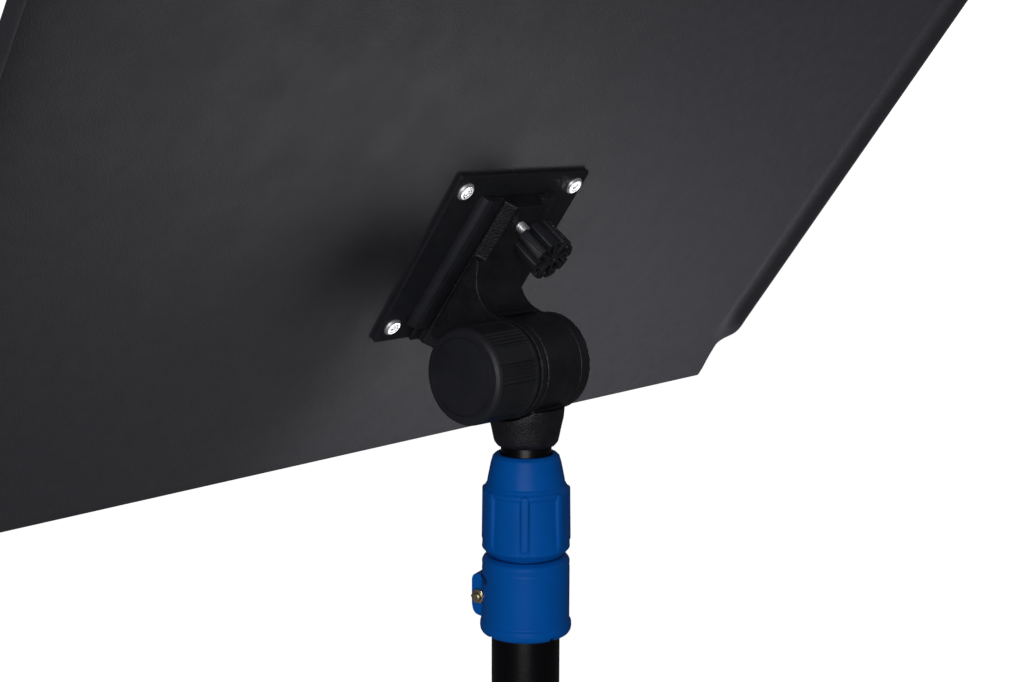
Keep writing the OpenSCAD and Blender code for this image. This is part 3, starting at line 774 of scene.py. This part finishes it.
def build_tilt_knob():
    """The ribbed knob with its round cap, and the washer behind it."""
    rim = KNOB_R + 0.1
    profile = [(0, KNOB_IN), (KNOB_R - 1.2, KNOB_IN), (rim, KNOB_IN + 0.5), (rim, KNOB_IN + 1.5)]
    back = soften(profile, [0, 0, 0.3, 0.2], 2, closed=False)
    count = 22
    low, high = KNOB_IN + 1.7, KNOB_OUT - 2.2
    side = [(KNOB_R - 0.4 * k / count, low + (high - low) * k / count) for k in range(count + 1)]
    face = soften([side[-1], (KNOB_R - 1.0, KNOB_OUT - 1.0), (KNOB_R - 2.3, KNOB_OUT), (17.0, KNOB_OUT)],
                  [0, 0.8, 0.8, 0], 4, closed=False)[1:]
    ring = [(16.6, KNOB_OUT), (16.45, KNOB_OUT - 0.5), (16.0, KNOB_OUT - 0.5), (15.8, KNOB_OUT - 0.12),
            (8.0, KNOB_OUT - 0.12), (0, KNOB_OUT - 0.12)]
    knob = revolve("tilt_knob_skin", back + side + face + ring, AXLE, 960, closed=False, shape=knob_grip)
    finish_piece(knob, "knob_plastic", "clamp_knob", ["tilt_knob", "tilt_knob_cap"], 40)
    washer = soften([(4.1, 14.6), (20.4, 14.6), (20.4, 15.7), (4.1, 15.7)], [0, 0.35, 0.35, 0])
    skin = revolve("clamp_washer_skin", washer, AXLE, 160)
    finish_piece(skin, "friction_material", "clamp_knob", ["clamp_washer"])


# ---------------------------------------------------------------- thumb screw
THUMB_Z = 45.8
THUMB_R = 10.5
THUMB_GAP = 8.9
THUMB_START = PLATE_FACE + BLOCK_H + THUMB_GAP
THUMB_LEN = 13.6
THUMB_LOBES = 8
THUMB_TURN = Matrix.Rotation(math.radians(-19.5), 4, "Z")
THUMB = DESK @ Matrix.Translation((0, THUMB_START, THUMB_Z)) @ OUT_OF_PLATE @ THUMB_TURN


def lobed_outline(r, lobes, dip, segments=240, sharp=5):
    """A round outline with broad lobes and narrow grooves between them."""
    out = []
    for k in range(segments):
        turn = 2 * math.pi * k / segments
        off = abs(nearest(turn, math.pi / lobes, lobes)) / (math.pi / lobes)
        reach = r - dip * math.exp(-(off * sharp) ** 2) - 0.25 * (1 - off) ** 2
        out.append((reach * math.cos(turn), reach * math.sin(turn)))
    return out


def thumb_pocket(lobe, outline, hub_r, rib):
    """The outline of the pocket in one lobe, between two spokes, the hub and the wall."""
    half = math.pi / THUMB_LOBES
    mid = (lobe + 0.5) * 2 * half
    keep = []
    for p in outline:
        off = (math.atan2(p[1], p[0]) - mid + math.pi) % (2 * math.pi) - math.pi
        if abs(off) < half - math.asin(rib / THUMB_R) - 0.01:
            keep.append((off, Vector(p)))
    wall = [p for _, p in sorted(keep, key=lambda pair: pair[0])]
    ends = [mid + side * (half - rib / hub_r) for side in (1, -1)]
    return wall + [Vector((hub_r * math.cos(t), hub_r * math.sin(t))) for t in ends]


def build_thumb_screw():
    """The lobed knob with its hollow face, on its stud."""
    wall, floor_at, hub_r, rib, dip = 1.5, THUMB_LEN - 5.5, 3.1, 0.55, 1.7
    body = prism("thumb_body", lobed_outline(THUMB_R, THUMB_LOBES, dip), 0, THUMB_LEN, THUMB)
    inside = lobed_outline(THUMB_R - wall, THUMB_LOBES, dip)
    past = THUMB_LEN + 1
    for lobe in range(THUMB_LOBES):
        pocket = thumb_pocket(lobe, inside, hub_r, rib)
        cut(body, prism("pocket", pocket, floor_at, past, THUMB))
    hole = [(0, floor_at), (1.5, floor_at), (1.5, past), (0, past)]
    cut(body, revolve("hole", hole, THUMB, 48, closed=False))
    bevel(body, 0.22, 2, 50)
    body.name = "thumb_knob_skin"
    finish_piece(body, "knob_plastic", "thumb_screw", ["thumb_knob"], 38)
    build_stud()


def build_stud():
    """The threaded stud: a fine 60-degree thread between the bracket and the knob."""
    pitch, depth, r = 0.8, 0.42, 2.5
    start, end = 0.1 - THUMB_GAP - BLOCK_H, THUMB_LEN - 6
    turns = (end - start) / pitch
    per_turn, around = 8, 48
    verts, faces, rows = [], [], []
    for i in range(int(turns * per_turn) + 1):
        z = start + i * pitch / per_turn
        row = []
        for k in range(around):
            turn = 2 * math.pi * k / around
            phase = (i / per_turn - k / around) % 1
            reach = r - depth * (1 - abs(2 * phase - 1))
            row.append(len(verts))
            verts.append((reach * math.cos(turn), reach * math.sin(turn), z))
        rows.append(row)
    for low, high in zip(rows, rows[1:]):
        for k in range(around):
            m = (k + 1) % around
            faces.append((low[k], low[m], high[m], high[k]))
    faces += [tuple(rows[0]), tuple(rows[-1])]
    stud = new_object("thumb_stud_thread", verts, faces, THUMB)
    finish_piece(stud, "zinc", "thumb_screw", ["thumb_stud"], 30)


# ---------------------------------------------------------------- clutch nut and collar
NUT_RIBS = 7
LUG_HALF = 5.6
LUG_BOLT_R = 19.5
COLLAR_R = 19.1
COLLAR_LOW, COLLAR_HIGH = -118.4, -83.7
COLLAR_BORE = 15.05
NUT_BORE = 13.4
TUBE_END = -92
SLIT = 1.5
SLOT_LOW, SLOT_HIGH, SLOT_REACH = -95.6, -92.2, math.radians(55)
SLOT_TOP = SLOT_HIGH - LUG_Z
RIB_FIRST = math.radians(39)
RIB_HALF = 1.9


def nut_shape(turn, r, z):
    """Raised bars with round ends, and the shallow panels between them."""
    if r < 18.0 or z > -52.6:
        return r
    side = abs(nearest(turn, RIB_FIRST, NUT_RIBS)) * r
    beyond = max(0.0, -76.6 - z, z + 55.2)
    from_bar = math.hypot(side, beyond)
    bar = 1 - smooth(from_bar, RIB_HALF - 0.75, RIB_HALF)
    deep = 0.25 + 0.4 * smooth(z, -80, -58)
    inside = smooth(-z, 55.4, 56.1) * (1 - smooth(-z, 78.6, 80.2))
    panel = inside * smooth(side, RIB_HALF - 0.2, RIB_HALF + 0.5)
    return r - 0.15 - deep * panel + 0.5 * bar


def dense(profile, gap):
    """The same profile with points no further apart than gap."""
    out = [Vector(profile[0])]
    for p in profile[1:]:
        p = Vector(p)
        parts = max(1, math.ceil((p - out[-1]).length / gap))
        start = out[-1].copy()
        out += [start.lerp(p, k / parts) for k in range(1, parts + 1)]
    return out


def build_clutch_nut():
    """The nut's ribbed grip, its cone and its stepped bore."""
    points = [(14.75, -82.7), (16.8, -82.7), (19.5, -79.8), (19.15, -54.2), (18.3, -53.2),
              (17.05, -51.4), (16.55, -48.6), (15.35, -42.6), (14.5, -39.7), (13.2, -38.5), (11.7, -38.5)]
    radii = [0, 0.6, 1.4, 1.0, 0.8, 0.7, 3, 4, 1.2, 0.8, 0.5]
    outer = soften(points, radii, 6, closed=False)
    inner = [(11.7, -41), (13.4, -51), (13.4, -54), (14.75, -55.5)]
    profile = dense(outer, 0.45) + [Vector(p) for p in inner]
    nut = revolve("clutch_nut_skin", profile, COLUMN, 540, shape=nut_shape)
    finish_piece(nut, "clutch_plastic", "clutch", ["clutch_nut"], 50)


def build_band_slot():
    """The tool for the slot round the collar's clamp side, with round ends."""
    count = 40
    half = (SLOT_HIGH - SLOT_LOW) / 2
    middle = (SLOT_HIGH + SLOT_LOW) / 2
    inside, outside = 15.2, 19.95
    verts, faces = [], []
    for k in range(count + 1):
        turn = SLOT_REACH * (2 * k / count - 1)
        to_end = (SLOT_REACH - abs(turn)) * COLLAR_R
        rise = math.sqrt(max(half ** 2 - max(half - to_end, 0) ** 2, 0.01))
        at = LUG_ANGLE + turn
        for r, z in ((inside, -rise), (outside, -rise), (outside, rise), (inside, rise)):
            verts.append((r * math.cos(at), r * math.sin(at), middle + z))
    for k in range(count):
        a, b = 4 * k, 4 * (k + 1)
        faces += [(a + i, a + (i + 1) % 4, b + (i + 1) % 4, b + i) for i in range(4)]
    faces += [(0, 1, 2, 3), tuple(4 * count + i for i in range(4))]
    return new_object("band_slot", verts, faces, COLUMN)


def collar_body():
    """The collar's wall, flared at its foot."""
    points = [(COLLAR_BORE, COLLAR_LOW), (18.3, COLLAR_LOW), (19.3, -117.8), (19.9, -116.8),
              (20.1, -115.4), (20.0, -113.6), (19.2, -112.6), (19.2, -89.0), (19.05, -88.9),
              (19.2, -86.0), (18.6, -84.8), (16.9, COLLAR_HIGH), (NUT_BORE, COLLAR_HIGH)]
    radii = [0, 0.3, 0.5, 0.6, 0.8, 0.3, 0.4, 0.1, 0.1, 0.8, 0.6, 0.4, 0]
    outer = soften(points, radii, 6, closed=False)
    step = [Vector((NUT_BORE, TUBE_END)), Vector((COLLAR_BORE, TUBE_END - 0.05))]
    return revolve("collar_body", outer + step, COLUMN, 192)


def cut_spot_faces(collar):
    """Seats for the clamp screw's head and nut, one on each face of the lug."""
    spot = [(0, LUG_HALF), (4.1, LUG_HALF), (4.1, LUG_HALF + 8), (0, LUG_HALF + 8)]
    for side in (-1, 1):
        turn = Matrix.Rotation(side * math.pi / 2, 4, "X")
        face = CLAMP @ Matrix.Translation((LUG_BOLT_R, 0, 0)) @ turn
        cut(collar, revolve("spot_face", spot, face, 48, closed=False))


def cut_notches(collar):
    """Four notches in the collar's foot."""
    half, count, first = 1.8, 4, 78
    outline = soften([(-half, -124), (half, -124), (half, -116.2), (-half, -116.2)], [0, 0, 1, 1])
    for k in range(count):
        turn = Matrix.Rotation(math.radians(first + 360 / count * k), 4, "Z")
        cut(collar, prism("notch", outline, 15.2, 24, COLUMN @ turn, "x"))


def build_collar():
    """The fixed collar: a clamp band with a split lug between a slot and the notched foot."""
    outline = soften([(14, -9.6), (23.8, -9.6), (23.8, 9.4), (14, 9.4)], [0, 5.5, 2.8, 0], 8)
    lug = prism("lug", outline, -LUG_HALF, LUG_HALF, CLAMP, "y")
    collar = cast(join("lower_collar_skin", [collar_body(), lug]), 0.25, 1)
    bore = [(0, -125), (COLLAR_BORE, -125), (COLLAR_BORE, TUBE_END - 0.05), (NUT_BORE, TUBE_END),
            (NUT_BORE, -80), (0, -80)]
    cut(collar, revolve("bore", bore, COLUMN, 128, closed=False))
    slit = [(12, -25), (30, -25), (30, SLOT_TOP), (12, SLOT_TOP)]
    cut(collar, prism("slit", slit, -SLIT / 2, SLIT / 2, CLAMP, "y"))
    cut(collar, build_band_slot())
    cut_spot_faces(collar)
    cut_notches(collar)
    finish_piece(collar, "clutch_plastic", "base_column", ["lower_collar"], 45)


def build_spigot():
    """The collar's threaded spigot inside the nut."""
    profile = [(NUT_BORE, -83.6), (14.6, -83.6), (14.6, -58.2), (NUT_BORE, -58.2)]
    finish_piece(revolve("collar_spigot", profile, COLUMN, 96), "clutch_plastic", "base_column")


def build_collar_bolt():
    """The clamp screw with its round head, and the nut on the lug's other face."""
    turn = Matrix.Rotation(-math.pi / 2, 4, "X")
    at = CLAMP @ Matrix.Translation((LUG_BOLT_R, 0, 0)) @ turn
    points = [(0, -8), (3.4, -8), (3.4, -LUG_HALF), (2, -LUG_HALF), (2, 10.2), (1.5, 10.6), (0, 10.6)]
    profile = soften(points, [0, 1.1, 0.2, 0, 0.2, 0.2, 0], 4, closed=False)
    screw = revolve("collar_bolt_skin", profile, at, 64, closed=False)
    finish_piece(screw, "yellow_zinc", "base_column", ["collar_bolt"], 40)
    nut = bevel(prism("collar_nut_skin", polygon(3.5, 6), LUG_HALF, LUG_HALF + 2.8, at), 0.35, 3)
    finish_piece(nut, "yellow_zinc", "base_column", ["collar_nut"], 40)


def build_tube(node, bore, outer, low, high, body):
    """A tube of the column, with its edges broken."""
    section = soften([(bore, low), (outer, low), (outer, high), (bore, high)], 0.2)
    finish_piece(revolve(node + "_skin", section, COLUMN, 160), "tube_coat", body, [node])


def paint_kept_nodes():
    """Every CAD node that still shows gets its slot's procedural material."""
    slots = {s["node"]: s["material_slot"] for s in frame["record"]["subparts"]}
    for name, obj in frame["nodes"].items():
        obj.data.materials.clear()
        obj.data.materials.append(MATERIALS[slots[name]])


add_camera()
add_world(below=0.12, above=0.2)
add_floor(reach=60, bounce=0.3)
add_area("key", (1.5, 1.1, 0.95), (0, 0, 0.65), (1.1, 1.1), 20)
bpy.context.scene.view_settings.view_transform = "Standard"
make_materials()
paint_kept_nodes()
desk_sheet = build_desk()
build_plate()
build_rails()
screws = build_screws()
build_arm()
build_socket()
build_tilt_knob()
build_thumb_screw()
build_clutch_nut()
build_collar()
build_spigot()
build_collar_bolt()
build_tube("upper_tube", 9.5, 11, -630, -12, "upper_column")
build_tube("lower_tube", 13.5, 15, -701, TUBE_END, "base_column")
glow = add_area("floor_glow", (-0.25, 0.15, 0.42), (-0.05, 0, 0.75), (0.25, 0.25), 1.9)
light_only(glow, [desk_sheet, screws])
